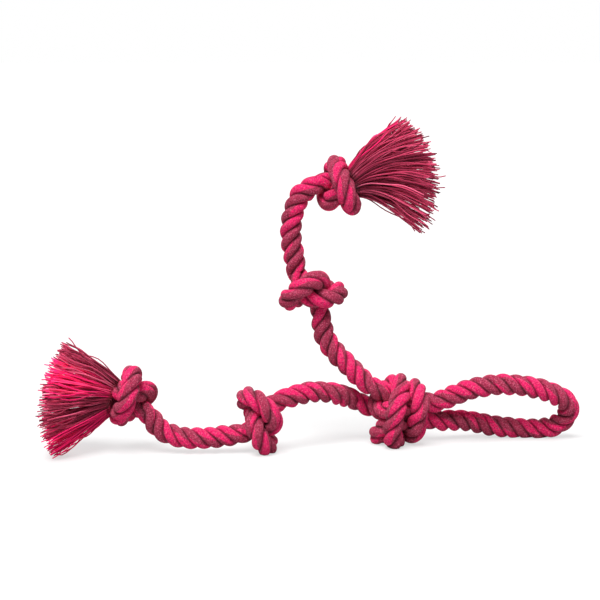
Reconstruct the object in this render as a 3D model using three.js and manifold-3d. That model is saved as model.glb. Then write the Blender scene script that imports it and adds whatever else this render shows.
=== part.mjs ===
// Rope dog toy: one thick laid rope, doubled into a hand loop, with five knots and two frayed ends.
// Millimetres, +Z up. The origin lies under the main knot, on the floor. +X runs towards the hand loop.
import * as THREE from "three";
import { mergeVertices } from "three/addons/utils/BufferGeometryUtils.js";
import Module from "manifold-3d";

const wasm = await Module();
wasm.setup();

// Rope
const ropeDiameter = 20;
const ropeSides = 8;
const stretchStep = 9;
const meetGap = 0.3;
const floorCut = ropeDiameter / 10;
const floorWidth = 2000;
const floorDepth = 200;

// Knots: the rope is squeezed narrower in a knot, and its turns stay a little apart.
const singleSqueeze = 2.6;
const doubledSqueeze = 5;
const knotGap = 0.7;
const knotStep = 5;
const knotBlend = 14;

// Frayed ends. strandTrim is the shortest edge kept where strands run into each other.
const strandCount = 150;
const strandWidth = 1.1;
const strandSteps = 2;
const strandSides = 3;
const strandTrim = 0.1;
const rootThickness = 5;
const lowerTasselLength = 74;
const upperTasselLength = 77;

// How a loose knot is drawn tight. Lengths here are in knot rope diameters: how far two ropes lie to
// the sides of a doubled knot's middle, how much looser that knot starts and how tightly a rope bends.
const singleKnot = { points: 80, passes: 2000, loose: 1, sides: [0], bunch: 0.003, squeeze: singleSqueeze };
const doubledKnot = {
  points: 120, passes: 3000, loose: 1.5, sides: [0.5, -0.5], bunch: 0.003, squeeze: doubledSqueeze,
};
const settlePasses = 600;
const ease = 0.5;
const leastBend = 0.75;
const bendArc = 0.8;

// The knots, in the rope's order from the lower frayed end to the upper one. "along" is the way through
// a knot, roll (degrees) turns it about that, hand is -1 for a mirrored knot, and each rope in it is
// held where it comes in and goes out.
const lowerEndKnot = {
  ...singleKnot, centre: [-259.7, -30, 51], along: [0.83, 0, -0.56], roll: 300, hand: -1,
  held: [[[-274, -31, 64], [-243, -30, 41]]],
};
const lowerMidKnot = {
  ...singleKnot, centre: [-134, -25, 33], along: [0.76, 0.15, 0.63], roll: 160, hand: -1,
  held: [[[-150, -27, 20], [-113, -19.5, 50.5]]],
};
const mainKnot = {
  ...doubledKnot, centre: [4, 21, 37], along: [1, -0.3, -0.4], roll: 98, hand: -1,
  held: [[[-41, 25, 49], [36, 26, 28.5]], [[-28, 2, 68], [36, 14.5, 48.5]]],
};
const upperMidKnot = {
  ...singleKnot, centre: [-80, 9, 152], along: [-0.35, 0, 0.94], roll: 130, hand: -1,
  held: [[[-75, 8.5, 131], [-98, 9, 170]]],
};
const upperEndKnot = {
  ...singleKnot, centre: [-58, 8, 256], along: [1, 0, 0], roll: 70, hand: -1,
  held: [[[-79, 8, 256], [-42, 7, 258]]],
};

// Points that the rope passes between its knots, chosen from the photograph.
const lowerOuterRoute = [
  [-228, -30, 23], [-209, -30, 16], [-190, -29, 15], [-171, -28, 16.5],
];
const lowerInnerRoute = [
  [-98, -14, 54], [-80, -5, 55.5], [-61, 4, 52],
];
const loopRoute = [
  [68, 36, 18.5], [84, 41, 14.5], [101, 44, 11], [118, 46, 9], [135, 46, 8], [153, 44, 10.5],
  [165, 39, 19], [170, 33, 31], [166, 27, 40], [154, 22, 48], [135, 18, 55], [118, 16, 58], [101, 15, 59],
  [84, 14, 57], [68, 13, 53.5],
];
const upperInnerRoute = [
  [-52, 4, 84], [-64, 6, 96.5], [-71.5, 7, 110],
];
const upperOuterRoute = [
  [-102, 8, 192], [-104, 8, 207], [-103, 8, 221], [-99.5, 8, 235], [-93, 8, 247],
];

// A frayed end fans out about its axis, by so many degrees up and down and front and back.
const lowerTassel = { axis: [-1, -0.12, -0.06], up: 47, side: 36, droop: 0, length: lowerTasselLength };
const upperTassel = { axis: [1, -0.05, 0.08], up: 48, side: 36, droop: 6, length: upperTasselLength };

const vector = (list) => new THREE.Vector3(...list);
const smooth = (t) => THREE.MathUtils.smoothstep(t, 0, 1);
const ropeIn = (knot) => ropeDiameter - knot.squeeze;
const knotUnit = (knot) => ropeIn(knot) + knotGap;

// A loosely tied overhand knot as a polynomial curve with its long way along X.
class LooseOverhand extends THREE.Curve {
  getPoint(u, target = new THREE.Vector3()) {
    const t = 2.1 * (2 * u - 1);
    return target.set(0.4 * (t ** 5 - 10 * t), 1.3 * (t ** 3 - 3 * t), t ** 4 - 4 * t * t + 2);
  }
}

// Where a knot lies: its own X goes along it, and its roll is as seen from the front, along +Y.
function knotPlace(knot) {
  const { centre, along, roll, hand } = knot;
  const way = vector(along).normalize();
  const up = new THREE.Vector3(0, -1, 0).cross(way).normalize();
  const turned = THREE.MathUtils.degToRad(roll);
  const y = up.clone().applyAxisAngle(way, -turned).multiplyScalar(hand);
  const z = up.clone().applyAxisAngle(way, Math.PI / 2 - turned);
  const place = new THREE.Matrix4().makeBasis(way, y, z).setPosition(...centre);
  return place.scale(new THREE.Vector3().setScalar(knotUnit(knot)));
}

// One rope, or two side by side, along the loose knot, each with its ends where they are held.
function looseRopes({ points, loose, sides, held }, place) {
  const curve = new LooseOverhand();
  const frames = curve.computeFrenetFrames(points - 1);
  const inverse = place.clone().invert();
  return sides.map((side, k) => {
    const rope = curve.getSpacedPoints(points - 1);
    rope.forEach((p, i) => p.multiplyScalar(loose).addScaledVector(frames.normals[i], side));
    rope[0].set(...held[k][0]).applyMatrix4(inverse);
    rope[points - 1].set(...held[k][1]).applyMatrix4(inverse);
    return rope;
  });
}

function meanStep(rope) {
  const length = rope.reduce((sum, p, i) => (i ? sum + p.distanceTo(rope[i - 1]) : 0), 0);
  return length / (rope.length - 1);
}

// Shortens loosely knotted ropes between their held ends while they keep one diameter clear of
// themselves and each other and bend no tighter than leastBend. In the last passes the pull dies away,
// so that the turns come clear of each other.
function drawTight(knot) {
  const place = knotPlace(knot);
  const ropes = looseRopes(knot, place);
  const all = ropes.flatMap((rope, k) => rope.map((p, i) => ({ p, k, i })));
  const isEnd = ({ k, i }) => i === 0 || i === ropes[k].length - 1;
  const way = new THREE.Vector3();
  for (let pass = 0; pass < knot.passes + settlePasses; pass++) {
    const pull = Math.min(1, (knot.passes + settlePasses - pass) / settlePasses) ** 2;
    for (const rope of ropes) {
      const was = rope.map((p) => p.clone());
      for (let i = 1; i < rope.length - 1; i++) {
        way.addVectors(was[i - 1], was[i + 1]).multiplyScalar(0.5);
        rope[i].lerp(way, ease * pull);
        rope[i].x *= 1 - knot.bunch * pull;
      }
    }
    const step = ropes.map(meanStep);
    const push = all.map(() => new THREE.Vector3());
    const hits = all.map(() => 0);
    for (let a = 0; a < all.length; a++) {
      for (let b = a + 1; b < all.length; b++) {
        const arc = all[a].k === all[b].k ? (all[b].i - all[a].i) * step[all[a].k] : Infinity;
        if (arc < bendArc) continue;
        const bent = arc < Math.PI * leastBend ? 2 * leastBend * Math.sin(arc / leastBend / 2) : 1;
        const least = Math.min(1, bent);
        way.subVectors(all[b].p, all[a].p);
        const apart = way.length();
        if (apart >= least) continue;
        way.multiplyScalar((least - apart) / apart / 2);
        push[a].sub(way);
        push[b].add(way);
        hits[a]++;
        hits[b]++;
      }
    }
    all.forEach((q, n) => {
      if (hits[n] && !isEnd(q)) q.p.addScaledVector(push[n], 1 / Math.sqrt(hits[n]));
    });
  }
  ropes.flat().forEach((p) => p.applyMatrix4(place));
  return ropes;
}

// Draws a knot tight, then lowers or lifts it until the floor cuts its lowest turn by floorCut.
function drawTightOnFloor(knot) {
  const ropes = drawTight(knot);
  const lowest = Math.min(...ropes.flat().map((p) => p.z)) - ropeIn(knot) / 2;
  ropes.flat().forEach((p) => p.setZ(p.z - lowest - floorCut));
  return ropes;
}

const [lowerEndRope] = drawTight(lowerEndKnot);
const [lowerMidRope] = drawTightOnFloor(lowerMidKnot);
const [lowerLeg, upperLeg] = drawTightOnFloor(mainKnot);
const [upperMidRope] = drawTight(upperMidKnot);
const [upperEndRope] = drawTight(upperEndKnot);

// The pieces of the rope in its order, each with the points that it passes.
const pieces = [
  { name: "lower_end_knot", points: lowerEndRope, knot: lowerEndKnot },
  { name: "lower_outer_rope", points: lowerOuterRoute.map(vector) },
  { name: "lower_mid_knot", points: lowerMidRope, knot: lowerMidKnot, onFloor: true },
  { name: "lower_inner_rope", points: lowerInnerRoute.map(vector) },
  { name: "main_knot_lower_leg", points: lowerLeg, knot: mainKnot, onFloor: true },
  { name: "handle_loop", points: loopRoute.map(vector), onFloor: true },
  { name: "main_knot_upper_leg", points: upperLeg.toReversed(), knot: mainKnot, onFloor: true },
  { name: "upper_inner_rope", points: upperInnerRoute.map(vector) },
  { name: "upper_mid_knot", points: upperMidRope, knot: upperMidKnot },
  { name: "upper_outer_rope", points: upperOuterRoute.map(vector) },
  { name: "upper_end_knot", points: upperEndRope, knot: upperEndKnot },
];

// The whole rope is one smooth curve, and a plain stretch runs from knot to knot.
const routePoints = pieces.flatMap((piece) => piece.points);
const route = new THREE.CatmullRomCurve3(routePoints, false, "centripetal");
pieces.reduce((count, piece) => {
  piece.first = piece.knot ? count : count - 1;
  piece.last = count + piece.points.length - (piece.knot ? 1 : 0);
  return count + piece.points.length;
}, 0);

// Evenly spaced stations on the route between two of its points, each with the rope's direction
// there. Half the gap between pieces is left at both ends.
function stations(first, last, step) {
  const fine = 12;
  const share = (i) => i / fine / (routePoints.length - 1);
  const dense = [];
  for (let i = first * fine; i <= last * fine; i++) dense.push(route.getPoint(share(i)));
  const run = [0];
  for (let i = 1; i < dense.length; i++) run.push(run[i - 1] + dense[i].distanceTo(dense[i - 1]));
  const length = run.at(-1) - meetGap;
  const count = Math.round(length / step);
  const found = [];
  let at = 1;
  for (let n = 0; n <= count; n++) {
    const s = meetGap / 2 + (length * n) / count;
    while (run[at] < s) at++;
    const part = (s - run[at - 1]) / (run[at] - run[at - 1]);
    const i = n === 0 ? first * fine : n === count ? last * fine : first * fine + at - 1 + part;
    const way = route.getTangent(share(i));
    found.push({ p: dense[at - 1].clone().lerp(dense[at], part), way, run: s, left: length - s });
  }
  return found;
}

// A closed tube of straight facets, with a ring of corners about each station.
function tube(line, sides) {
  const corners = [];
  const index = [];
  let side = new THREE.Vector3(0.36, 0.48, 0.8);
  line.forEach(({ p, way, radius }, i) => {
    side = side.clone().addScaledVector(way, -side.dot(way)).normalize();
    const over = way.clone().cross(side);
    for (let k = 0; k < sides; k++) {
      const turn = (2 * Math.PI * k) / sides;
      const corner = p.clone().addScaledVector(side, radius * Math.cos(turn));
      corners.push(...corner.addScaledVector(over, radius * Math.sin(turn)).toArray());
      if (i === 0) continue;
      const a = (i - 1) * sides + k;
      const b = (i - 1) * sides + ((k + 1) % sides);
      index.push(a, b, b + sides, a, b + sides, a + sides);
    }
  });
  const end = (line.length - 1) * sides;
  for (let k = 1; k < sides - 1; k++) index.push(0, k + 1, k, end, end + k, end + k + 1);
  const geometry = new THREE.BufferGeometry();
  geometry.setAttribute("position", new THREE.Float32BufferAttribute(corners, 3));
  geometry.setIndex(index);
  return geometry;
}

function toSolid(geometry) {
  const bare = geometry.clone();
  bare.deleteAttribute("normal");
  bare.deleteAttribute("uv");
  const merged = mergeVertices(bare);
  const vertProperties = Float32Array.from(merged.attributes.position.array);
  const triVerts = Uint32Array.from(merged.index.array);
  return new wasm.Manifold(new wasm.Mesh({ numProp: 3, vertProperties, triVerts }));
}

function toGeometry(solid) {
  const { vertProperties, triVerts } = solid.getMesh();
  const geometry = new THREE.BufferGeometry();
  geometry.setAttribute("position", new THREE.BufferAttribute(vertProperties, 3));
  geometry.setIndex(new THREE.BufferAttribute(triVerts, 1));
  return geometry;
}

// Everything under the floor, as a block much larger than the toy.
const floorBox = new THREE.BoxGeometry(floorWidth, floorWidth, floorDepth);
const floorBlock = toSolid(floorBox.translate(0, 0, -floorDepth / 2));

const ropeColour = new THREE.Color(0.66, 0.09, 0.25);
const lowerTasselColour = new THREE.Color(0.72, 0.06, 0.26);
const upperTasselColour = new THREE.Color(0.45, 0.07, 0.17);
const cotton = (color) => new THREE.MeshStandardMaterial({ color, roughness: 0.95, metalness: 0 });

// The rope narrows as it comes to a knot, before or after it, and keeps that width in it.
function ropeMesh(piece, n) {
  piece.line = stations(piece.first, piece.last, piece.knot ? knotStep : stretchStep);
  piece.line.forEach((station) => {
    const squeezeBy = (knot, far) => knot.squeeze * (1 - smooth(far / knotBlend));
    const narrower = piece.knot
      ? piece.knot.squeeze
      : squeezeBy(pieces[n - 1].knot, station.run) + squeezeBy(pieces[n + 1].knot, station.left);
    station.radius = (ropeDiameter - narrower) / 2;
  });
  const whole = tube(piece.line, ropeSides);
  const geometry = piece.onFloor ? toGeometry(toSolid(whole).subtract(floorBlock)) : whole;
  const mesh = new THREE.Mesh(geometry, cotton(ropeColour));
  mesh.name = piece.name;
  return mesh;
}

// The least gap between two turns or pieces of the rope, measured on its stations. Stations nearer
// than this along the rope are on one bend.
const sameBend = 1.6 * ropeDiameter;

function leastGap() {
  const all = pieces.flatMap((piece) => piece.line);
  const run = [0];
  for (let i = 1; i < all.length; i++) run.push(run[i - 1] + all[i].p.distanceTo(all[i - 1].p));
  let least = Infinity;
  for (let a = 0; a < all.length; a++) {
    for (let b = a + 1; b < all.length; b++) {
      if (run[b] - run[a] < sameBend) continue;
      least = Math.min(least, all[a].p.distanceTo(all[b].p) - all[a].radius - all[b].radius);
    }
  }
  return least;
}

// A frayed end: strands fanned out of a slice of the rope's end, none crossing another.
function tasselMesh(name, end, way, { axis, up, side, droop, length }, color) {
  const radius = (ropeDiameter - singleSqueeze) / 2;
  const back = end.clone().addScaledVector(way, meetGap);
  const face = back.clone().addScaledVector(way, rootThickness);
  const slice = tube([{ p: back, way, radius }, { p: face, way, radius }], ropeSides);
  const start = back.clone().lerp(face, 0.5);
  const out = vector(axis).normalize();
  const rise = new THREE.Vector3(0, 0, 1).addScaledVector(out, -out.z).normalize();
  const across = out.clone().cross(rise);
  const sliceRise = rise.clone().addScaledVector(way, -rise.dot(way)).normalize();
  const sliceAcross = way.clone().cross(sliceRise);
  const spread = radius * Math.cos(Math.PI / ropeSides) - strandWidth;
  const solids = [toSolid(slice)];
  for (let n = 0; n < strandCount; n++) {
    const share = Math.sqrt((n + 0.5) / strandCount);
    const turn = n * Math.PI * (3 - Math.sqrt(5));
    const u = share * Math.cos(turn);
    const v = share * Math.sin(turn);
    const foot = start.clone().addScaledVector(sliceRise, u * spread);
    foot.addScaledVector(sliceAcross, v * spread);
    const strand = [];
    for (let k = 0; k <= strandSteps; k++) {
      const t = k / strandSteps;
      const open = THREE.MathUtils.degToRad(1 - (1 - t) ** 2);
      const lift = u * up * open;
      const swing = v * side * open;
      const p = foot.clone().addScaledVector(out, length * t * Math.cos(lift) * Math.cos(swing));
      p.addScaledVector(rise, length * t * Math.sin(lift));
      p.addScaledVector(across, length * t * Math.cos(lift) * Math.sin(swing));
      p.z -= droop * t * t;
      strand.push({ p, radius: strandWidth / 2 });
    }
    strand.forEach((station, k) => {
      const next = strand[Math.min(k + 1, strandSteps)].p;
      const last = strand[Math.max(k - 1, 0)].p;
      station.way = next.clone().sub(last).normalize();
    });
    solids.push(toSolid(tube(strand, strandSides)));
  }
  const fan = wasm.Manifold.union(solids).simplify(strandTrim);
  const mesh = new THREE.Mesh(toGeometry(fan), cotton(color));
  mesh.name = name;
  return mesh;
}

const toy = new THREE.Group();
pieces.forEach((piece, n) => toy.add(ropeMesh(piece, n)));
const lowerEnd = pieces[0].line[0];
const upperEnd = pieces.at(-1).line.at(-1);
const lowerWay = lowerEnd.way.clone().negate();
toy.add(tasselMesh("lower_tassel", lowerEnd.p, lowerWay, lowerTassel, lowerTasselColour));
toy.add(tasselMesh("upper_tassel", upperEnd.p, upperEnd.way, upperTassel, upperTasselColour));

console.log(`least gap between turns of the rope: ${leastGap().toFixed(2)} mm`);

export default toy;
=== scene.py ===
import math

import bmesh
import bpy
import numpy as np
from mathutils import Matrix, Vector


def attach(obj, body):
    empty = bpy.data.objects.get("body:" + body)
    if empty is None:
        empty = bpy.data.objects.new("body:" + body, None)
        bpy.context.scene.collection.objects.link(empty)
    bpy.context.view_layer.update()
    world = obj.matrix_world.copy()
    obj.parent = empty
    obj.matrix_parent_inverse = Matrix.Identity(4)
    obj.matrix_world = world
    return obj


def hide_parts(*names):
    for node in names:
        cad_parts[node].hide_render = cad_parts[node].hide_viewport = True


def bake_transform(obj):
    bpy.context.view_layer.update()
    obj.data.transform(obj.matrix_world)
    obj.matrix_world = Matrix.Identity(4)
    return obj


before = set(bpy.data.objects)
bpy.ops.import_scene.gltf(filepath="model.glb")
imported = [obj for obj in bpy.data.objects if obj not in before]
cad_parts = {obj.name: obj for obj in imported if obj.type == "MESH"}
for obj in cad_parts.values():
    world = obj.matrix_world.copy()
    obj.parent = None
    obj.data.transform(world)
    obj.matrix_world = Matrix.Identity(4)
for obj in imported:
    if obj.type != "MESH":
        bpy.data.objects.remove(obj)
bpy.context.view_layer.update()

bl_info = {
    "name": "Rope dog toy",
    "version": (1, 0, 0),
    "blender": (4, 5, 0),
    "location": "View3D > Sidebar > Rope toy",
    "description": "Builds a knotted cotton rope toy with a hand loop and two frayed ends",
    "category": "Object",
}

# The rope, in metres. It is squeezed narrower in a knot, where its turns stay a little apart, and widens
# again over a short blend. The floor cuts a little off the turns that lie on it.
ROPE = 0.020
KNOT_GAP = 0.0007
KNOT_BLEND = 0.014
FLOOR_CUT = ROPE / 10

# How a loose knot is drawn tight. Apart from the squeeze, lengths here are in knot rope diameters. In
# the settling passes the pull dies away. A point eases by a share of the way to the middle of its
# neighbours, no bend is tighter than the least one, and points closer along the rope than the bend's arc
# don't push each other.
SINGLE = {
    "points": 80, "passes": 2000, "loose": 1.0, "sides": (0.0,), "bunch": 0.003, "squeeze": 0.0026,
}
DOUBLED = {
    "points": 120, "passes": 3000, "loose": 1.5, "sides": (0.5, -0.5), "bunch": 0.003, "squeeze": 0.005,
}
SETTLE_PASSES = 600
EASE = 0.5
LEAST_BEND = 0.75
BEND_ARC = 0.8

# The loose knot's curve: how far its formula runs either way, its length and width against its height,
# the steps that measure it, and the turn below which two of its steps count as straight.
OVERHAND_REACH = 2.1
OVERHAND_LENGTH = 0.4
OVERHAND_WIDTH = 1.3
OVERHAND_STEPS = 200
STRAIGHT = 1e-12

# The knots, in the rope's order from the lower frayed end to the upper one.
LOWER_END_KNOT = {
    **SINGLE, "centre": (-0.2597, -0.03, 0.051), "along": (0.83, 0, -0.56), "roll": 300, "hand": -1,
    "held": (((-0.274, -0.031, 0.064), (-0.243, -0.03, 0.041)),),
}
LOWER_MID_KNOT = {
    **SINGLE, "centre": (-0.134, -0.025, 0.033), "along": (0.76, 0.15, 0.63), "roll": 160, "hand": -1,
    "held": (((-0.15, -0.027, 0.02), (-0.113, -0.0195, 0.0505)),),
}
MAIN_KNOT = {
    **DOUBLED, "centre": (0.004, 0.021, 0.037), "along": (1, -0.3, -0.4), "roll": 98, "hand": -1,
    "held": (
        ((-0.041, 0.025, 0.049), (0.036, 0.026, 0.0285)),
        ((-0.028, 0.002, 0.068), (0.036, 0.0145, 0.0485)),
    ),
}
UPPER_MID_KNOT = {
    **SINGLE, "centre": (-0.080, 0.009, 0.152), "along": (-0.35, 0, 0.94), "roll": 130, "hand": -1,
    "held": (((-0.075, 0.0085, 0.131), (-0.098, 0.009, 0.17)),),
}
UPPER_END_KNOT = {
    **SINGLE, "centre": (-0.058, 0.008, 0.256), "along": (1, 0, 0), "roll": 70, "hand": -1,
    "held": (((-0.079, 0.008, 0.256), (-0.042, 0.007, 0.258)),),
}

# Points that the rope passes between its knots.
LOWER_OUTER_ROUTE = (
    (-0.228, -0.03, 0.023), (-0.209, -0.03, 0.016), (-0.19, -0.029, 0.015), (-0.171, -0.028, 0.0165),
)
LOWER_INNER_ROUTE = ((-0.098, -0.014, 0.054), (-0.08, -0.005, 0.0555), (-0.061, 0.004, 0.052))
LOOP_ROUTE = (
    (0.068, 0.036, 0.0185), (0.084, 0.041, 0.0145), (0.101, 0.044, 0.011), (0.118, 0.046, 0.009),
    (0.135, 0.046, 0.008), (0.153, 0.044, 0.0105), (0.165, 0.039, 0.019), (0.17, 0.033, 0.031),
    (0.166, 0.027, 0.04), (0.154, 0.022, 0.048), (0.135, 0.018, 0.055), (0.118, 0.016, 0.058),
    (0.101, 0.015, 0.059), (0.084, 0.014, 0.057), (0.068, 0.013, 0.0535),
)
UPPER_INNER_ROUTE = ((-0.052, 0.004, 0.084), (-0.064, 0.006, 0.0965), (-0.0715, 0.007, 0.11))
UPPER_OUTER_ROUTE = (
    (-0.102, 0.008, 0.192), (-0.104, 0.008, 0.207), (-0.103, 0.008, 0.221), (-0.0995, 0.008, 0.235),
    (-0.093, 0.008, 0.247),
)

# The body that carries each knot piece, and for each plain stretch the bodies of the knots at its ends,
# which nothing uses.
KNOT_BODIES = {
    "lower_end_knot": "lower_end_knot", "lower_mid_knot": "lower_mid_knot",
    "upper_mid_knot": "upper_mid_knot", "upper_end_knot": "upper_end_knot",
    "main_knot_lower_leg": "main_knot", "main_knot_upper_leg": "main_knot",
}
STRETCH_BODIES = {
    "lower_outer_rope": ("lower_end_knot", "lower_mid_knot"),
    "lower_inner_rope": ("lower_mid_knot", "main_knot"),
    "upper_inner_rope": ("main_knot", "upper_mid_knot"),
    "upper_outer_rope": ("upper_mid_knot", "upper_end_knot"),
}

# Points worked out on the pieces, which nothing uses: on the plain stretches this far inside either end,
# on the hand loop and the frayed ends the first and the second distance after the knot that they leave.
BEND_INSET = 0.006
LOOP_BEND = (0.004, 0.046)
FRAY_BEND = (0.001, 0.024)

# One in so many rings of the hand loop gives a point of its path. No rope lies lower than the clearance.
LOOP_PATH_RINGS = 4
FLOOR_CLEAR = 0.0001

# The frayed ends. Yarns come out of the knot over an oval, whose half width and half height are "root"
# and which lies "lower" than the rope's end. A yarn's slope off the fan's axis is "opens" times its place
# in the fan at the root and "closes" times it at the tip. "lift" is a rise that all have at the root and
# lose on the way. Those at the top and the bottom are shorter by the share "edge", and "pink" lists the
# heights in the fan between which yarns are pink.
FANS = {
    "lower_tassel": {
        "knot": "lower_end_knot", "axis": (-1, -0.12, 0.0), "root": (0.011, 0.0185), "lower": 0.009,
        "opens": 1.0, "closes": 0.7, "lift": 0.1, "length": 0.067, "edge": 0.08,
        "pink": ((-1.5, -0.53), (0.15, 0.6)), "seed": 5,
    },
    "upper_tassel": {
        "knot": "upper_end_knot", "axis": (1, -0.05, -0.02), "root": (0.011, 0.0135), "lower": 0.0,
        "opens": 0.85, "closes": 0.87, "lift": 0.92, "length": 0.083, "edge": 0.19,
        "pink": ((0.99, 1.5),), "seed": 8,
    },
}

# Rings along a loose yarn and sides around it, how far back in the knot it starts, a fan's depth as a
# share of its height, and how much wider than the rest a stray yarn spreads.
FRAY_STEPS = 14
YARN_SIDES = 6
FRAY_ROOT = 0.005
FRAY_DEPTH = 0.75
STRAY_SPREAD = 1.3

# How unlike each other loose yarns are: the scatter of their places, the shortest as a share of the
# longest, the scatter of lengths, and the scatter and wave of the heights where colours change.
PLACE_SCATTER = 0.06
SHORTEST_YARN = 0.93
LENGTH_SCATTER = 0.015
BAND_SCATTER = 0.04
BAND_WAVE = 0.06
BAND_BEATS = 5

# The fewest and the most radians of a loose yarn's waves, and how soon they rise. Then how many steps
# its tip narrows over and to what share, a direction that no yarn follows, and the units in a metre that
# places along it are given in.
WAVE_BEATS = (4, 11)
WAVE_RISE = 1.4
TIP_STEPS = 2
TIP_SHARE = 0.9
YARN_ASIDE = (0.28, 0.64, 0.72)
YARN_MEASURE = 100

# The strands laid together, the points that measure a strand's back, a direction that the rope's start
# doesn't follow, and the distance within which a mesh is welded.
STRANDS = 3
BACK_POINTS = 601
ROPE_ASIDE = (0.36, 0.48, 0.8)
WELD = 1e-7

# A strand's innermost point as a share of the rope's radius, the share of a strand that shows, where and
# how much painted shade darkens its sides towards the grooves between strands, and where each strand's
# yarns start and how many of them are pink.
STRAND_HEART = 0.05
SEEN_SHARE = 0.7
GROOVE_SHADE_FROM = 0.2
GROOVE_SHADE = 0.6
STRAND_STARTS = (0.0, 0.45, 0.1)
STRAND_PINK = (0.26, 0.56, 0.58)

# How a strand swells along the rope: shares of its radius, radians in a metre and a shift from strand to
# strand. How the pink in it comes and goes, in the same way, and by what share. The height in the
# grooves between yarns that lies on the plain outline.
SWELLS = ((0.018, 210, 3), (0.015, 87, 10))
DRIFTS = ((71, 2), (163, 5))
DRIFT_SHARE = 0.35
YARN_LEVEL = 0.6

# Plain values of all the cotton, and the middle of a noise.
COTTON = {
    "Roughness": 0.92, "Specular IOR Level": 0.1, "Sheen Weight": 0.08, "Sheen Roughness": 0.45,
    "Sheen Tint": (1.0, 0.72, 0.8, 1.0),
}
NOISE_MIDDLE = 0.5

# The laid rope's noises: patches of dye, lint, specks of fuzz that also place painted highlights, and
# fibre streaks, whose places are scaled by so much across and along the yarns.
PATCHES = {"Scale": 160.0, "Detail": 3.0}
LINT = {"Scale": 640.0, "Detail": 2.0}
SPECKS = {"Scale": 800.0, "Detail": 3.0}
STREAKS = {"Scale": 1.0, "Detail": 2.0}
STREAK_SCALES = (110.0, 30.0)

# What the noises do to the laid rope. Patches and streaks make the edge between its colours stray. Streaks
# and lint give a random grain, the yarns' ridges painted shade between the yarns, and specks painted
# highlights of fuzz. A range is where a value takes effect, and a share how much.
PATCH_STRAY = 0.5
STREAK_STRAY = 0.25
DYE_RANGE = (-0.09, 0.09)
STREAK_RANGE = (0.3, 0.7)
STREAK_SHARE = 0.5
LINT_RANGE = (0.32, 0.68)
LINT_SHARE = 0.5
RIDGE_SHADE_RANGE = (0.0, 0.6)
RIDGE_SHADE_SHARE = 0.25
LEAST_SHADE = 0.28
FUZZ_HIGHLIGHT_RANGE = (0.48, 0.72)
FUZZ_HIGHLIGHT_SHARE = 0.5
LAID_RELIEF = {"ridge": 0.4, "streak": 0.4, "lint": 0.9, "speck": 0.4}
LAID_BUMP = (0.9, 0.0012)

# The same for the loose yarns, which have painted shade near their root, show the turns of their plies in
# painted shade and have a painted highlight on the lightest of them.
LOOSE_FUZZ = {"Scale": 1300.0, "Detail": 3.0}
PLY_TURNS = 3.3
ROOT_SHADE_RANGE = (0.0, 5.0)
ROOT_SHADE_RISE = 0.5
ROOT_SHADE = 0.6
PLY_SHADE = 0.5
TONE_SHARE = 1.5
LOOSE_FUZZ_SHARE = 0.3
LOOSE_DARK = 0.15
LIT_RANGE = (0.7, 1.0)
LIT_SHARE = 0.35
LOOSE_RELIEF = {"ply": 0.6, "fuzz": 0.5}
LOOSE_BUMP = (0.6, 0.0003)

# The stage: half of the floor's width, the way to each soft light and its breadth in degrees, the point
# that the camera looks at, and its sensor in millimetres.
FLOOR_REACH = 6.0
LIGHTS = {
    "key": ((-0.2, -0.62, 1.0), 40),
    "fill": ((0.4, -1.0, 0.35), 60),
    "back": ((0.25, 1.0, 0.55), 60),
}
CAMERA_TARGET = (-0.095, 0.012, 0.1429)
SENSOR_WIDTH = 36.0


class RopeLook(bpy.types.PropertyGroup):
    diameter: bpy.props.FloatProperty(
        name="Rope", description="Thickness of the rope between its knots", default=0.0210, unit="LENGTH")
    knot_diameter: bpy.props.FloatProperty(
        name="Rope in knots", description="Thickness of the rope where a knot squeezes it",
        default=0.0194, unit="LENGTH")
    lay: bpy.props.FloatProperty(
        name="Lay", description="Length of rope in which a strand goes round once", default=0.0375,
        unit="LENGTH")
    knot_lay: bpy.props.FloatProperty(
        name="Lay in knots", description="The same length where the rope is knotted", default=0.045,
        unit="LENGTH")
    strand_share: bpy.props.FloatProperty(
        name="Strand height", description="Half of a strand's height as a share of the rope's radius",
        default=0.5, subtype="FACTOR")
    strand_width: bpy.props.FloatProperty(
        name="Strand width", description="Half of a strand's width as a share of the rope's radius",
        default=0.575, subtype="FACTOR")
    yarns: bpy.props.IntProperty(
        name="Yarns", description="Yarns around one strand", default=26)
    yarn_turns: bpy.props.FloatProperty(
        name="Yarn turns", description="Turns of a strand's yarns in one lay of the rope", default=1.37)
    yarn_depth: bpy.props.FloatProperty(
        name="Yarn groove", description="Depth of the grooves between yarns", default=0.0003,
        unit="LENGTH")
    step: bpy.props.FloatProperty(
        name="Step", description="Length of one ring of faces along a strand's rope", default=0.0012,
        unit="LENGTH")
    sides: bpy.props.IntProperty(
        name="Sides", description="Faces across the back of one strand", default=60)


class FrayLook(bpy.types.PropertyGroup):
    yarns: bpy.props.IntProperty(
        name="Yarns", description="Yarns in one frayed end", default=460)
    width: bpy.props.FloatProperty(
        name="Yarn", description="Thickness of a loose yarn", default=0.00115, unit="LENGTH")
    clumps: bpy.props.IntProperty(
        name="Clumps", description="Groups that the yarns of one end gather in", default=40)
    gather: bpy.props.FloatProperty(
        name="Gather", description="How far a yarn leans to its clump", default=0.45, subtype="FACTOR")
    strays: bpy.props.FloatProperty(
        name="Strays", description="Share of the yarns that spread out of their fan", default=0.02,
        subtype="FACTOR")
    wave: bpy.props.FloatProperty(
        name="Wave", description="How far a yarn strays from its plain curve", default=0.0016,
        unit="LENGTH")


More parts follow.
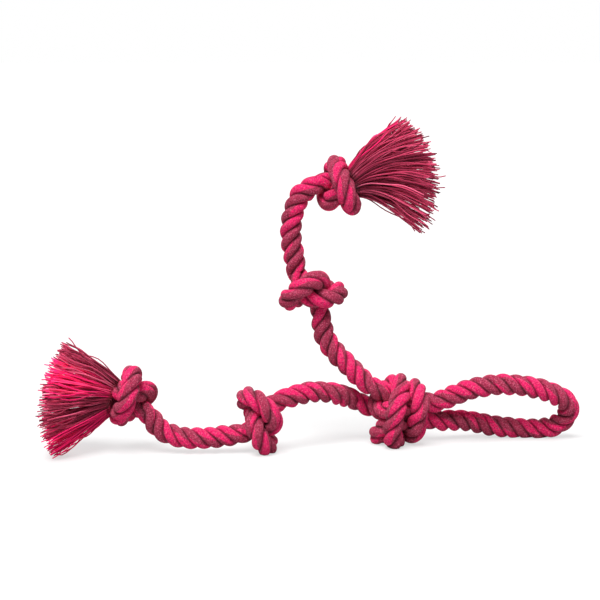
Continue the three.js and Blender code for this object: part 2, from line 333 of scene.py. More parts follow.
class CottonColours(bpy.types.PropertyGroup):
    pink: bpy.props.FloatVectorProperty(
        name="Pink", description="Colour of the bright yarns", default=(0.80, 0.014, 0.13),
        subtype="COLOR", size=3, min=0, max=1)
    # The fuzz colour is a painted highlight: the light that fibres standing out of the cotton catch.
    fuzz: bpy.props.FloatVectorProperty(
        name="Fuzz", description="Colour of the fibres that stand out and catch the light",
        default=(0.9, 0.22, 0.36), subtype="COLOR", size=3, min=0, max=1)
    maroon: bpy.props.FloatVectorProperty(
        name="Maroon", description="Colour of the dark yarns", default=(0.38, 0.03, 0.078),
        subtype="COLOR", size=3, min=0, max=1)


class StageLook(bpy.types.PropertyGroup):
    floor: bpy.props.FloatVectorProperty(
        name="Floor", description="Colour of the floor", default=(0.5, 0.5, 0.5), subtype="COLOR",
        size=3, min=0, max=1)
    shadow: bpy.props.FloatProperty(
        name="Shadow", description="How much the seen floor shows its light and shadow", default=0.3,
        subtype="FACTOR")
    glow: bpy.props.FloatProperty(
        name="Glow", description="Light that the seen floor gives of its own", default=0.58)
    sky: bpy.props.FloatProperty(
        name="Sky", description="Light from all around", default=0.12)
    key: bpy.props.FloatProperty(
        name="Key", description="Strength of the soft light from above", default=4.9)
    fill: bpy.props.FloatProperty(
        name="Fill", description="Strength of the soft light from the front", default=0.25)
    back: bpy.props.FloatProperty(
        name="Back", description="Strength of the soft light from behind", default=2.6)
    distance: bpy.props.FloatProperty(
        name="Distance", description="How far the camera stands", default=2.4, unit="LENGTH")
    elevation: bpy.props.FloatProperty(
        name="Elevation", description="How far the camera looks down", default=math.radians(9),
        subtype="ANGLE")
    lens: bpy.props.FloatProperty(
        name="Lens", description="Focal length in millimetres", default=148.5, subtype="DISTANCE_CAMERA")


def unit(vectors):
    vectors = np.asarray(vectors, float)
    return vectors / np.linalg.norm(vectors, axis=-1, keepdims=True)


def smooth(t):
    t = np.clip(t, 0, 1)
    return t * t * (3 - 2 * t)


def turned(vector, axis, angle):
    """A vector turned about a unit axis by the right-hand rule."""
    c, s = math.cos(angle), math.sin(angle)
    return vector * c + np.cross(axis, vector) * s + axis * np.dot(axis, vector) * (1 - c)


def overhand(share):
    """A loosely tied overhand knot as a polynomial curve with its long way along X."""
    t = OVERHAND_REACH * (2 * np.asarray(share, float) - 1)
    length = OVERHAND_LENGTH * (t**5 - 10 * t)
    width = OVERHAND_WIDTH * (t**3 - 3 * t)
    return np.stack([length, width, t**4 - 4 * t * t + 2], -1)


def even_shares(count):
    """Shares of the loose knot's curve that lie evenly along it."""
    at = np.arange(OVERHAND_STEPS + 1) / OVERHAND_STEPS
    run = np.concatenate([[0], np.cumsum(np.linalg.norm(np.diff(overhand(at), axis=0), axis=1))])
    return np.interp(np.arange(count) / (count - 1) * run[-1], run, at)


def side_ways(shares):
    """A direction across the loose knot's curve at each share, carried along it without twist."""
    nudge = 1e-4
    way = unit(overhand(np.minimum(shares + nudge, 1)) - overhand(np.maximum(shares - nudge, 0)))
    axis = np.zeros(3)
    axis[np.argmin(np.abs(way[0]))] = 1
    sides = [np.cross(way[0], unit(np.cross(way[0], axis)))]
    for last, now in zip(way[:-1], way[1:]):
        hinge = np.cross(last, now)
        side = sides[-1]
        if np.linalg.norm(hinge) > STRAIGHT:
            side = turned(side, unit(hinge), math.acos(min(1, max(-1, np.dot(last, now)))))
        sides.append(side)
    return np.array(sides)


def rope_in(knot):
    return ROPE - knot["squeeze"]


def knot_axes(knot):
    """A knot's own axes as rows. X goes along it, and its roll is as seen from the front."""
    way = unit(knot["along"])
    up = unit(np.cross((0, -1, 0), way))
    roll = math.radians(knot["roll"])
    return np.stack([way, turned(up, way, -roll) * knot["hand"], turned(up, way, math.pi / 2 - roll)])


def contacts(points, pairs, steps_apart, rope_of, step):
    """How each point is pushed where two ropes, or two turns of one, are closer than they may be."""
    first, second = pairs
    x, y, z = points.T
    square = np.square(x[:, None] - x) + np.square(y[:, None] - y) + np.square(z[:, None] - z)
    near = np.nonzero(square[first, second] < 1)[0]
    first, second, arc = first[near], second[near], steps_apart[near]
    arc = np.where(np.isfinite(arc), arc * step[rope_of[first]], np.inf)
    kept = arc >= BEND_ARC
    first, second, arc = first[kept], second[kept], arc[kept]
    bend = 2 * LEAST_BEND * np.sin(np.minimum(arc / LEAST_BEND, math.pi) / 2)
    least = np.where(arc < math.pi * LEAST_BEND, np.minimum(1, bend), 1)
    way = points[second] - points[first]
    apart = np.linalg.norm(way, axis=1)
    hit = apart < least
    first, second = first[hit], second[hit]
    way = way[hit] * ((least[hit] - apart[hit]) / apart[hit] / 2)[:, None]
    push = np.zeros_like(points)
    np.subtract.at(push, first, way)
    np.add.at(push, second, way)
    hits = np.bincount(first, minlength=len(points)) + np.bincount(second, minlength=len(points))
    return push, hits


def draw_tight(knot):
    """Shortens loosely knotted ropes between their held ends while they keep one diameter clear of
    themselves and each other. In the last passes the pull dies away, so that turns come clear."""
    axes, centre, count = knot_axes(knot), np.array(knot["centre"]), knot["points"]
    diameter = rope_in(knot) + KNOT_GAP
    shares = even_shares(count)
    sides = side_ways(shares)
    ropes = []
    for side, held in zip(knot["sides"], knot["held"]):
        rope = overhand(shares) * knot["loose"] + sides * side
        rope[[0, -1]] = (np.array(held) - centre) @ axes.T / diameter
        ropes.append(rope)
    ropes = np.stack(ropes)
    rope_of, place = np.divmod(np.arange(ropes.size // 3), count)
    pairs = np.triu_indices(len(place), 1)
    same = rope_of[pairs[0]] == rope_of[pairs[1]]
    steps_apart = np.where(same, place[pairs[1]] - place[pairs[0]], np.inf)
    free = (place > 0) & (place < count - 1)
    for done in range(knot["passes"] + SETTLE_PASSES):
        pull = min(1, (knot["passes"] + SETTLE_PASSES - done) / SETTLE_PASSES) ** 2
        middle = (ropes[:, :-2] + ropes[:, 2:]) * 0.5
        inner = ropes[:, 1:-1] + (middle - ropes[:, 1:-1]) * EASE * pull
        inner[..., 0] *= 1 - knot["bunch"] * pull
        ropes[:, 1:-1] = inner
        step = np.linalg.norm(np.diff(ropes, axis=1), axis=2).sum(1) / (count - 1)
        points = ropes.reshape(-1, 3)
        push, hits = contacts(points, pairs, steps_apart, rope_of, step)
        moved = free & (hits > 0)
        points[moved] += push[moved] / np.sqrt(hits[moved])[:, None]
    return [rope @ axes * diameter + centre for rope in ropes]


def drawn_on_floor(knot):
    """A tight knot that lies on the floor, lowered or lifted until its lowest turn is cut by it."""
    ropes = draw_tight(knot)
    lowest = min(rope[:, 2].min() for rope in ropes) - rope_in(knot) / 2
    return [rope - (0, 0, lowest + FLOOR_CUT) for rope in ropes]


def curve_through(points, fine):
    """A smooth centripetal curve through points, with so many steps from each to the next."""
    ends = np.concatenate([[2 * points[0] - points[1]], points, [2 * points[-1] - points[-2]]])
    p0, p1, p2, p3 = ends[:-3], ends[1:-2], ends[2:-1], ends[3:]
    d0, d1, d2 = (
        np.sqrt(np.linalg.norm(b - a, axis=1))[:, None] for a, b in ((p0, p1), (p1, p2), (p2, p3)))
    m1 = ((p1 - p0) / d0 - (p2 - p0) / (d0 + d1) + (p2 - p1) / d1) * d1
    m2 = ((p2 - p1) / d1 - (p3 - p1) / (d1 + d2) + (p3 - p2) / d2) * d1
    t = (np.arange(fine) / fine)[:, None, None]
    curve = p1 + m1 * t + (3 * (p2 - p1) - 2 * m1 - m2) * t**2 + (2 * (p1 - p2) + m1 + m2) * t**3
    return np.concatenate([curve.transpose(1, 0, 2).reshape(-1, 3), points[-1:]])


class Route:
    """The whole rope's centreline, with its width, its lay and a frame that doesn't twist along it."""

    FINE = 24
    SPACING = 0.0004

    def __init__(self, look):
        pieces = self.pieces()
        count = 0
        spans = {}
        for name, points, knotted in pieces:
            first = count if knotted else count - 1
            spans[name] = (first, count + len(points) - (1 if knotted else 0), knotted)
            count += len(points)
        curve = curve_through(np.concatenate([points for _, points, _ in pieces]), self.FINE)
        run = np.concatenate([[0], np.cumsum(np.linalg.norm(np.diff(curve, axis=0), axis=1))])
        self.spans = {n: (run[a * self.FINE], run[b * self.FINE], k) for n, (a, b, k) in spans.items()}
        self.s = np.linspace(0, run[-1], round(run[-1] / self.SPACING))
        self.p = np.stack([np.interp(self.s, run, curve[:, axis]) for axis in range(3)], -1)
        self.way = unit(np.gradient(self.p, self.s, axis=0))
        self.side = self.carried(self.way)
        free = np.zeros_like(self.s)
        for start, end, knotted in self.spans.values():
            if not knotted:
                inside = np.minimum(self.s - start, end - self.s)
                free = np.maximum(free, smooth(inside / KNOT_BLEND))
        self.radius = (look.knot_diameter + (look.diameter - look.knot_diameter) * free) / 2
        lay = look.knot_lay + (look.lay - look.knot_lay) * free
        turn = np.gradient(self.s) / lay
        self.turn = np.cumsum(turn) - turn[0]

    @staticmethod
    def pieces():
        (lower_end,) = draw_tight(LOWER_END_KNOT)
        (lower_mid,) = drawn_on_floor(LOWER_MID_KNOT)
        lower_leg, upper_leg = drawn_on_floor(MAIN_KNOT)
        (upper_mid,) = draw_tight(UPPER_MID_KNOT)
        (upper_end,) = draw_tight(UPPER_END_KNOT)
        return [
            ("lower_end_knot", lower_end, True),
            ("lower_outer_rope", np.array(LOWER_OUTER_ROUTE), False),
            ("lower_mid_knot", lower_mid, True),
            ("lower_inner_rope", np.array(LOWER_INNER_ROUTE), False),
            ("main_knot_lower_leg", lower_leg, True),
            ("handle_loop", np.array(LOOP_ROUTE), False),
            ("main_knot_upper_leg", upper_leg[::-1], True),
            ("upper_inner_rope", np.array(UPPER_INNER_ROUTE), False),
            ("upper_mid_knot", upper_mid, True),
            ("upper_outer_rope", np.array(UPPER_OUTER_ROUTE), False),
            ("upper_end_knot", upper_end, True),
        ]

    @staticmethod
    def carried(way):
        side = unit(np.cross(way[0], ROPE_ASIDE))
        sides = []
        for now in way:
            side = unit(side - now * np.dot(side, now))
            sides.append(side)
        return np.array(sides)

    def at(self, s):
        """Points, directions, sides, radii and turns of the lay at lengths s along the rope."""
        def read(values):
            return np.stack([np.interp(s, self.s, values[:, axis]) for axis in range(3)], -1)
        way = unit(read(self.way))
        side = read(self.side)
        side = unit(side - way * np.sum(side * way, 1, keepdims=True))
        return read(self.p), way, side, np.interp(s, self.s, self.radius), np.interp(s, self.s, self.turn)


ROUTE = {}


def route():
    if "rope" not in ROUTE:
        ROUTE["rope"] = Route(bpy.context.scene.rope_look)
    return ROUTE["rope"]


class Wire:
    """A shader socket whose arithmetic adds Math nodes to its tree."""

    def __init__(self, tree, socket=None):
        self.tree = tree
        self.socket = socket

    def node(self, kind, output=0, settings=None, inputs=None):
        """Adds a node, sets its settings and then its sockets, and gives one of its outputs."""
        made = self.tree.nodes.new(kind)
        for name, value in (settings or {}).items():
            setattr(made, name, value)
        for name, value in (inputs or {}).items():
            if isinstance(value, Wire):
                self.tree.links.new(value.socket, made.inputs[name])
            else:
                made.inputs[name].default_value = value
        return Wire(self.tree, made.outputs[output])

    def maths(self, operation, first, second):
        return self.node("ShaderNodeMath", settings={"operation": operation}, inputs={0: first, 1: second})

    def __add__(self, other):
        return self.maths("ADD", self, other)

    def __sub__(self, other):
        return self.maths("SUBTRACT", self, other)

    def __rsub__(self, other):
        return self.maths("SUBTRACT", other, self)

    def __mul__(self, other):
        return self.maths("MULTIPLY", self, other)

    def noise(self, kind):
        """A noise of one kind at the places that this wire gives."""
        return self.node("ShaderNodeTexNoise", inputs={"Vector": self, **kind})

    def sine(self):
        return self.maths("SINE", self, 0.0)

    def absolute(self):
        return self.maths("ABSOLUTE", self, 0.0)

    def eased(self, low, high):
        """0 up to low, 1 from high, and smooth between."""
        return self.node("ShaderNodeMapRange", settings={"interpolation_type": "SMOOTHSTEP"}, inputs={
            "Value": self, "From Min": low, "From Max": high, "To Min": 0.0, "To Max": 1.0})

    def mixed(self, first, second):
        """Two colours mixed by this wire."""
        return self.node("ShaderNodeMix", output=2, settings={"data_type": "RGBA"}, inputs={
            0: self, 6: first, 7: second})

    def over(self, colour):
        """A colour made lighter or darker by this wire."""
        grey = self.node("ShaderNodeCombineXYZ", inputs={0: self, 1: self, 2: self})
        return self.node(
            "ShaderNodeMix", output=2, settings={"data_type": "RGBA", "blend_type": "MULTIPLY"},
            inputs={0: 1.0, 6: colour, 7: grey})


def opaque(colour):
    return (*colour, 1.0)


def new_cotton(name):
    """An empty cotton material with its plain values set, and a wire to build its pattern with."""
    material = bpy.data.materials.new(name)
    material.use_nodes = True
    surface = material.node_tree.nodes["Principled BSDF"]
    for socket, value in COTTON.items():
        surface.inputs[socket].default_value = value
    return material, surface, Wire(material.node_tree)


def finish_cotton(material, surface, colour, height, bump):
    """Links a cotton's colour and its relief, with the bump's strength and its distance."""
    tree = material.node_tree
    strength, distance = bump
    normal = Wire(tree).node("ShaderNodeBump", inputs={
        "Strength": strength, "Distance": distance, "Height": height})
    tree.links.new(colour.socket, surface.inputs["Base Color"])
    tree.links.new(normal.socket, surface.inputs["Normal"])
    return material


def laid_cotton():
    """Two-coloured yarns that wind around each strand, with fibres along them, fuzz over them with painted
    highlights, and painted shade between the yarns and towards the grooves between strands.
    """
    colours, look = bpy.context.scene.cotton_colours, bpy.context.scene.rope_look
    material, surface, wire = new_cotton("laid_cotton")
    across = wire.node("ShaderNodeUVMap", settings={"uv_map": "strand"})
    split = wire.node("ShaderNodeSeparateXYZ", inputs={0: across})
    around, along = split, Wire(wire.tree, split.socket.node.outputs[1])
    yarn = around + along
    place = wire.node("ShaderNodeTexCoord", output=3)
    patch, lint, speck = place.noise(PATCHES), place.noise(LINT), place.noise(SPECKS)
    scale_across, scale_along = STREAK_SCALES
    streak = wire.node("ShaderNodeCombineXYZ", inputs={
        0: yarn * scale_across, 1: along * scale_along, 2: 0.0}).noise(STREAKS)
    dye = wire.node("ShaderNodeAttribute", settings={"attribute_name": "dye"})
    dye = wire.node("ShaderNodeSeparateXYZ", inputs={0: Wire(wire.tree, dye.socket.node.outputs[1])})
    edge = (dye * math.pi + math.pi / 2).sine()
    stray = (patch - NOISE_MIDDLE) * PATCH_STRAY + (streak - NOISE_MIDDLE) * STREAK_STRAY
    pink = ((yarn * (2 * math.pi)).sine() + stray - edge).eased(*DYE_RANGE)
    ridge = (yarn * (math.pi * look.yarns)).sine().absolute()
    base = pink.mixed(opaque(colours.maroon), opaque(colours.pink))
    grain = streak.eased(*STREAK_RANGE) * STREAK_SHARE + lint.eased(*LINT_RANGE) * LINT_SHARE
    # Painted shade between the yarns from their ridges, over a random grain of streaks and lint.
    shade = ridge.eased(*RIDGE_SHADE_RANGE) * RIDGE_SHADE_SHARE + grain + LEAST_SHADE
    # Painted shade: each strand darkens towards its sides, in the grooves between strands.
    groove = around.absolute().eased(GROOVE_SHADE_FROM, SEEN_SHARE / 2)
    # Specks of real fuzz given a painted highlight, mixed towards the fuzz colour.
    fuzz_highlighted = (speck.eased(*FUZZ_HIGHLIGHT_RANGE) * FUZZ_HIGHLIGHT_SHARE).mixed(shade.over(base), opaque(colours.fuzz))
    # The colour with painted highlights of fuzz and painted shade towards the grooves between strands.
    shaded_and_lit = (1.0 - groove * GROOVE_SHADE).over(fuzz_highlighted)
    height = ridge * LAID_RELIEF["ridge"] + streak * LAID_RELIEF["streak"]
    height = height + lint * LAID_RELIEF["lint"] + speck * LAID_RELIEF["speck"]
    return finish_cotton(material, surface, shaded_and_lit, height, LAID_BUMP)


def loose_cotton(name):
    """Loose yarns of one colour each, with painted shade between the turns of their plies, fuzz, a painted
    highlight on the lightest yarns and painted shade at the root.
    """
    colours = bpy.context.scene.cotton_colours
    material, surface, wire = new_cotton(name)
    across = wire.node("ShaderNodeUVMap", settings={"uv_map": "yarn"})
    split = wire.node("ShaderNodeSeparateXYZ", inputs={0: across})
    around, along = split, Wire(wire.tree, split.socket.node.outputs[1])
    dye = wire.node("ShaderNodeAttribute", settings={"attribute_name": "dye"})
    dye_parts = wire.node("ShaderNodeSeparateXYZ", inputs={0: Wire(wire.tree, dye.socket.node.outputs[1])})
    pink, tone = dye_parts, Wire(wire.tree, dye_parts.socket.node.outputs[1])
    place = wire.node("ShaderNodeTexCoord", output=3)
    fuzz = place.noise(LOOSE_FUZZ)
    ply = ((around + along * PLY_TURNS) * (2 * math.pi)).sine().absolute()
    base = pink.mixed(opaque(colours.maroon), opaque(colours.pink))
    # Painted shade near the root, growing lighter along the yarn.
    root_shaded = along.eased(*ROOT_SHADE_RANGE) * ROOT_SHADE_RISE + ROOT_SHADE
    # Painted shade between the turns of the plies, on each yarn's random tone and fuzz.
    grain = ply * PLY_SHADE + tone * TONE_SHARE + fuzz * LOOSE_FUZZ_SHARE - LOOSE_DARK
    # Painted highlight: the lightest-toned yarns are mixed towards the fuzz colour.
    lit = (tone.eased(*LIT_RANGE) * LIT_SHARE).mixed((grain * root_shaded).over(base), opaque(colours.fuzz))
    height = ply * LOOSE_RELIEF["ply"] + fuzz * LOOSE_RELIEF["fuzz"]
    return finish_cotton(material, surface, lit, height, LOOSE_BUMP)


def material_named(name, make):
    return bpy.data.materials.get(name) or make()


def rolled_tubes(name, rings, tubes, uv_name, dye):
    """A mesh of closed tubes, made from one grid that is rolled up along them and parted between them.
    rings gives each row's points, their places around and its place along, tubes the rows of each tube,
    and dye two values of each row: how pink it is and, for loose yarns, how light."""
    points, around, along = rings
    rows, columns = len(along), points.shape[1] - 1
    bm = bmesh.new()
    uv = bm.loops.layers.uv.new(uv_name)
    tint = bm.verts.layers.float_vector.new("dye")
    bmesh.ops.create_grid(bm, x_segments=columns, y_segments=rows - 1, size=0.5, calc_uvs=True)
    bm.verts.ensure_lookup_table()
    lasts = set(np.cumsum(tubes)[:-1] - 1)
    bridges = []
    for face in bm.faces:
        row = round((face.calc_center_median().y + 0.5) * (rows - 1) - 0.5)
        if row in lasts:
            bridges.append(face)
    bmesh.ops.delete(bm, geom=bridges, context="FACES_ONLY")
    for vert in bm.verts:
        column = round((vert.co.x + 0.5) * columns)
        row = round((vert.co.y + 0.5) * (rows - 1))
        vert.co = points[row, column]
        vert[tint] = (*dye[row], 0)
        for loop in vert.link_loops:
            loop[uv].uv = (around[row, column], along[row])
    bmesh.ops.remove_doubles(bm, verts=bm.verts, dist=WELD)
    bmesh.ops.holes_fill(bm, edges=[e for e in bm.edges if e.is_boundary], sides=0)
    bmesh.ops.recalc_face_normals(bm, faces=bm.faces)
    mesh = bpy.data.meshes.new(name)
    bm.to_mesh(mesh)
    bm.free()
    mesh.shade_smooth()
    return mesh


def new_piece(name, mesh, material):
    piece = bpy.data.objects.new(name, mesh)
    bpy.context.scene.collection.objects.link(piece)
    mesh.materials.append(material)
    return piece


def strand_profile(look):
    """One strand's section in the rope's round: angles and radii about the rope's axis, and places
    around the strand. A laid strand fills a third of the round, with an oval back."""
    half = 180 / STRANDS
    angle = np.radians(np.linspace(-half, half, BACK_POINTS))
    low, high = look.strand_share, 1 - look.strand_share
    shape = np.square(np.cos(angle) / low) + np.square(np.sin(angle) / look.strand_width)
    middle = high * np.cos(angle) / low**2
    radius = (middle + np.sqrt(middle**2 - shape * (np.square(high / low) - 1))) / shape
    back = np.stack([radius * np.cos(angle), radius * np.sin(angle)], -1)
    run = np.concatenate([[0], np.cumsum(np.linalg.norm(np.diff(back, axis=0), axis=1))])
    even = np.linspace(0, run[-1], look.sides + 1)
    place = (even / run[-1] - 0.5) * SEEN_SHARE
    place = np.concatenate([[-0.5], place, [0.5]])
    angle = np.concatenate([[0], np.interp(even, run, angle), [0]])
    radius = np.concatenate([[STRAND_HEART], np.interp(even, run, radius), [STRAND_HEART]])
    return angle, radius, place


def strand_rings(s, strand, look):
    """Rings of points around one strand of the rope at lengths s, with each point's place around the
    strand and each ring's place along it, both in turns of its yarns."""
    p, way, side, radius, turn = route().at(s)
    over = np.cross(way, side)
    angle, reach, around = strand_profile(look)
    yarn_turn = look.yarn_turns * turn + STRAND_STARTS[strand]
    groove = np.abs(np.sin(math.pi * look.yarns * (around + yarn_turn[:, None])))
    swell = 1 + sum(share * np.sin(s * pace + shift * strand) for share, pace, shift in SWELLS)
    relief = look.yarn_depth * (groove - YARN_LEVEL) * (reach > STRAND_HEART)
    reach = reach * (radius * swell)[:, None] + relief
    spin = 2 * math.pi * (turn + strand / STRANDS)[:, None] + angle
    points = p[:, None] + reach[..., None] * (
        side[:, None] * np.cos(spin)[..., None] + over[:, None] * np.sin(spin)[..., None])
    points[..., 2] = np.maximum(points[..., 2], FLOOR_CLEAR)
    points[:, -1] = points[:, 0]
    return points, np.broadcast_to(around, groove.shape), yarn_turn


def laid_rope(name):
    """One piece of the rope: three strands laid together along its part of the route."""
    look = bpy.context.scene.rope_look
    start, end, _ = route().spans[name]
    s = np.linspace(start, end, max(round((end - start) / look.step), 2) + 1)
    parts = [strand_rings(s, strand, look) for strand in range(STRANDS)]
    rings = [np.concatenate(values) for values in zip(*parts)]
    drift = np.stack([
        np.mean([np.sin(s * pace + shift * strand) for pace, shift in DRIFTS], axis=0)
        for strand in range(STRANDS)])
    share = np.array(STRAND_PINK)[:, None] * (1 + DRIFT_SHARE * drift)
    dye = np.stack([share.ravel(), np.zeros(share.size)], -1)
    mesh = rolled_tubes(name, rings, [len(s)] * STRANDS, "strand", dye)
    piece = new_piece(name + "_laid", mesh, material_named("laid_cotton", laid_cotton))
    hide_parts(name)
    return piece, route().at(s)[0]


class TOY_OT_hand_loop(bpy.types.Operator):
    """Lays the hand loop, whose legs leave the main knot"""
    bl_idname = "toy.hand_loop"
    bl_label = "Hand loop"

    def execute(self, context):
        piece, line = laid_rope("handle_loop")
        path = line[::LOOP_PATH_RINGS]
        middle = (line[0] + line[-1]) / 2
        bend_from, bend_to = LOOP_BEND
        tuple(middle + (bend_from, 0, 0))
        tuple(middle + (bend_to, 0, 0))
        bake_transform(piece)
        path.tolist() + [line[-1].tolist()]
        return {"FINISHED"}


class TOY_OT_plain_stretches(bpy.types.Operator):
    """Lays the plain stretches of both arms, each of which runs from one knot to the next"""
    bl_idname = "toy.plain_stretches"
    bl_label = "Plain stretches"

    def execute(self, context):
        for name, (first, second) in STRETCH_BODIES.items():
            piece, line = laid_rope(name)
            inset = unit(line[-1] - line[0]) * BEND_INSET
            tuple(line[0] + inset)
            tuple(line[-1] - inset)
            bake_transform(piece)
        return {"FINISHED"}


class TOY_OT_knots(bpy.types.Operator):
    """Lays the rope in the main knot, the middle knots and the end knots"""
    bl_idname = "toy.knots"
    bl_label = "Knots"

    def execute(self, context):
        for name, body in KNOT_BODIES.items():
            piece, _ = laid_rope(name)
            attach(piece, body)
        return {"FINISHED"}


def rope_end(name):
    """Where the rope ends at a frayed end, and which way it goes on from there."""
    rope = route()
    return (rope.p[0], -rope.way[0]) if name == "lower_tassel" else (rope.p[-1], rope.way[-1])


def fan_yarns(name, fan, look, random):
    """Centrelines of one end's loose yarns, with how pink and how light each of them is. They come out of
    the knot over an oval root, spread to their places in the fan, gather in clumps and wave a little. A
    few stray from the fan."""
    count = look.yarns
    place = np.sqrt((np.arange(count) + 0.5) / count)
    spin = np.arange(count) * math.pi * (3 - math.sqrt(5))
    disc = np.stack([place * np.cos(spin), place * np.sin(spin)], -1)
    seeds = disc[random.choice(count, look.clumps, replace=False)]
    clump = np.argmin(np.linalg.norm(disc[:, None] - seeds, axis=2), 1)
    axis = unit(fan["axis"])
    across = unit(np.cross(axis, (0, 0, 1)))
    up = np.cross(across, axis)
    start, way = rope_end(name)
    root_across = unit(across - way * np.dot(across, way))
    root_up = np.cross(root_across, way)
    t = np.linspace(0, 1, FRAY_STEPS)[:, None, None]
    aim = disc + (seeds[clump] - disc) * look.gather * t + random.normal(0, PLACE_SCATTER, disc.shape)
    aim = aim * np.where(random.uniform(0, 1, count) < look.strays, STRAY_SPREAD, 1)[:, None]
    spread = aim * (fan["closes"] + (fan["opens"] - fan["closes"]) * (1 - t) ** 2) * (FRAY_DEPTH, 1)
    spread = spread + (0, fan["lift"]) * (1 - t) ** 2
    heading = unit(axis + spread[..., :1] * across + spread[..., 1:] * up)
    length = fan["length"] * random.uniform(SHORTEST_YARN, 1.0, count)
    length = length * (1 + random.normal(0, LENGTH_SCATTER, count)) * (1 - fan["edge"] * disc[:, 1] ** 2)
    root = start - way * FRAY_ROOT - root_up * fan["lower"]
    roots = root + disc[:, :1] * root_across * fan["root"][0] + disc[:, 1:] * root_up * fan["root"][1]
    lines = np.cumsum(heading, 0) / (FRAY_STEPS - 1) * (length + FRAY_ROOT)[None, :, None]
    lines = roots + lines - lines[:1]
    beat = random.uniform(*WAVE_BEATS, (count, 3)) * t + random.uniform(0, 2 * math.pi, (count, 3))
    wave = random.normal(0, 1, (count, 3)) * look.wave
    lines = lines + wave * (np.sin(beat) - np.sin(beat[:1])) * smooth(t * WAVE_RISE)
    lines[..., 2] = np.maximum(lines[..., 2], look.width)
    height = disc[:, 1] + random.normal(0, BAND_SCATTER, count)
    height = height + BAND_WAVE * np.sin(disc[:, 0] * BAND_BEATS)
    pink = np.zeros(count)
    for low, high in fan["pink"]:
        pink[(height > low) & (height < high)] = 1
    return lines.transpose(1, 0, 2), pink, random.uniform(0, 1, count)


def yarn_rings(lines, look):
    """Rings of points around loose yarns, with places around and along each yarn."""
    way = unit(np.gradient(lines, axis=1))
    side = unit(np.cross(way, YARN_ASIDE))
    over = np.cross(way, side)
    share = np.linspace(0, 1, YARN_SIDES + 1)
    spin = 2 * math.pi * share[None, None, :, None]
    tip = FRAY_STEPS - 1
    thin = np.interp(np.arange(FRAY_STEPS), (0, tip - TIP_STEPS, tip), (1, 1, TIP_SHARE))
    ring = side[:, :, None] * np.cos(spin) + over[:, :, None] * np.sin(spin)
    points = lines[:, :, None] + ring * (thin * look.width / 2)[None, :, None, None]
    points[:, :, -1] = points[:, :, 0]
    steps = np.linalg.norm(np.diff(lines, axis=1, prepend=lines[:, :1]), axis=2)
    run = np.cumsum(steps, 1) * YARN_MEASURE
    around = np.broadcast_to(share, (run.size, len(share)))
    return points.reshape(run.size, -1, 3), around, run.reshape(-1)


class TOY_OT_frayed_ends(bpy.types.Operator):
    """Fans out the loose yarns of both frayed ends"""
    bl_idname = "toy.frayed_ends"
    bl_label = "Frayed ends"

    def execute(self, context):
        look = context.scene.fray_look
        for name, fan in FANS.items():
            random = np.random.default_rng(fan["seed"])
            lines, pink, tone = fan_yarns(name, fan, look, random)
            dye = np.repeat(np.stack([pink, tone], -1), FRAY_STEPS, axis=0)
            mesh = rolled_tubes(name, yarn_rings(lines, look), [FRAY_STEPS] * len(lines), "yarn", dye)
            slot = name.replace("tassel", "fray")
            piece = new_piece(name + "_yarns", mesh, loose_cotton(slot))
            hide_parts(name)
            start, way = rope_end(name)
            bend_from, bend_to = FRAY_BEND
            tuple(start + way * bend_from)
            tuple(start + way * bend_to)
            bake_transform(piece)
        return {"FINISHED"}


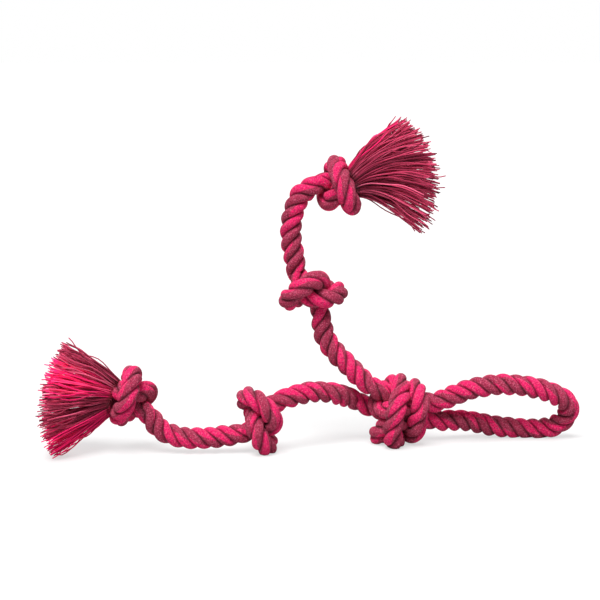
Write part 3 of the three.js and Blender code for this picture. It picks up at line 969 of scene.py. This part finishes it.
class TOY_OT_stage(bpy.types.Operator):
    """Sets the pale floor, the soft light and the camera at the photograph's view"""
    bl_idname = "toy.stage"
    bl_label = "Stage"

    def execute(self, context):
        look = context.scene.stage_look
        self.floor(look)
        self.lights(context, look)
        self.camera(context, look)
        context.scene.view_settings.view_transform = "Standard"
        return {"FINISHED"}

    def floor(self, look):
        bm = bmesh.new()
        bmesh.ops.create_grid(bm, x_segments=1, y_segments=1, size=FLOOR_REACH)
        mesh = bpy.data.meshes.new("floor")
        bm.to_mesh(mesh)
        bm.free()
        floor = bpy.data.objects.new("floor", mesh)
        bpy.context.scene.collection.objects.link(floor)
        material = bpy.data.materials.new("pale_floor")
        material.use_nodes = True
        tree = material.node_tree
        tree.nodes.remove(tree.nodes["Principled BSDF"])
        wire = Wire(tree)
        ray = wire.node("ShaderNodeLightPath")
        plain = wire.node("ShaderNodeBsdfDiffuse", inputs={"Color": opaque(look.floor)})
        dim = wire.node("ShaderNodeBsdfDiffuse", inputs={"Color": opaque([look.shadow] * 3)})
        glow = wire.node("ShaderNodeEmission", inputs={"Strength": look.glow})
        seen = wire.node("ShaderNodeAddShader", inputs={0: dim, 1: glow})
        both = wire.node("ShaderNodeMixShader", inputs={0: ray, 1: plain, 2: seen})
        tree.links.new(both.socket, tree.nodes["Material Output"].inputs["Surface"])
        mesh.materials.append(material)

    def lights(self, context, look):
        world = bpy.data.worlds.new("studio")
        context.scene.world = world
        world.use_nodes = True
        tree = world.node_tree
        wire = Wire(tree)
        ray = wire.node("ShaderNodeLightPath")
        sky = wire.node("ShaderNodeMix", output=2, settings={"data_type": "RGBA"}, inputs={
            0: ray, 6: opaque([look.sky] * 3), 7: (1, 1, 1, 1)})
        tree.links.new(sky.socket, tree.nodes["Background"].inputs["Color"])
        for name, (way, breadth) in LIGHTS.items():
            lamp = bpy.data.lights.new(name, "SUN")
            lamp.energy = getattr(look, name)
            lamp.angle = math.radians(breadth)
            holder = bpy.data.objects.new(name, lamp)
            holder.rotation_euler = Vector(way).to_track_quat("Z", "Y").to_euler()
            context.scene.collection.objects.link(holder)

    def camera(self, context, look):
        data = bpy.data.cameras.new("camera")
        data.lens = look.lens
        data.sensor_width = SENSOR_WIDTH
        camera = bpy.data.objects.new("camera", data)
        target = Vector(CAMERA_TARGET)
        back = Vector((0, -math.cos(look.elevation), math.sin(look.elevation)))
        camera.location = target + back * look.distance
        camera.rotation_euler = (-back).to_track_quat("-Z", "Y").to_euler()
        context.scene.collection.objects.link(camera)
        context.scene.camera = camera


OPERATORS = (
    TOY_OT_hand_loop, TOY_OT_plain_stretches, TOY_OT_knots, TOY_OT_frayed_ends, TOY_OT_stage,
)


class TOY_PT_panel(bpy.types.Panel):
    """Lists the steps that build the toy"""
    bl_idname = "TOY_PT_panel"
    bl_label = "Rope toy"
    bl_space_type = "VIEW_3D"
    bl_region_type = "UI"
    bl_category = "Rope toy"

    def draw(self, context):
        for step in OPERATORS:
            self.layout.operator(step.bl_idname)


LOOKS = {
    "rope_look": RopeLook, "fray_look": FrayLook, "cotton_colours": CottonColours, "stage_look": StageLook,
}


def register():
    for kind in (*LOOKS.values(), *OPERATORS, TOY_PT_panel):
        bpy.utils.register_class(kind)
    for name, kind in LOOKS.items():
        setattr(bpy.types.Scene, name, bpy.props.PointerProperty(type=kind))


def unregister():
    for name in LOOKS:
        delattr(bpy.types.Scene, name)
    for kind in reversed((*LOOKS.values(), *OPERATORS, TOY_PT_panel)):
        bpy.utils.unregister_class(kind)


def main():
    register()
    bpy.ops.toy.stage()
    bpy.ops.toy.hand_loop()
    bpy.ops.toy.plain_stretches()
    bpy.ops.toy.knots()
    bpy.ops.toy.frayed_ends()


if __name__ == "__main__":
    main()
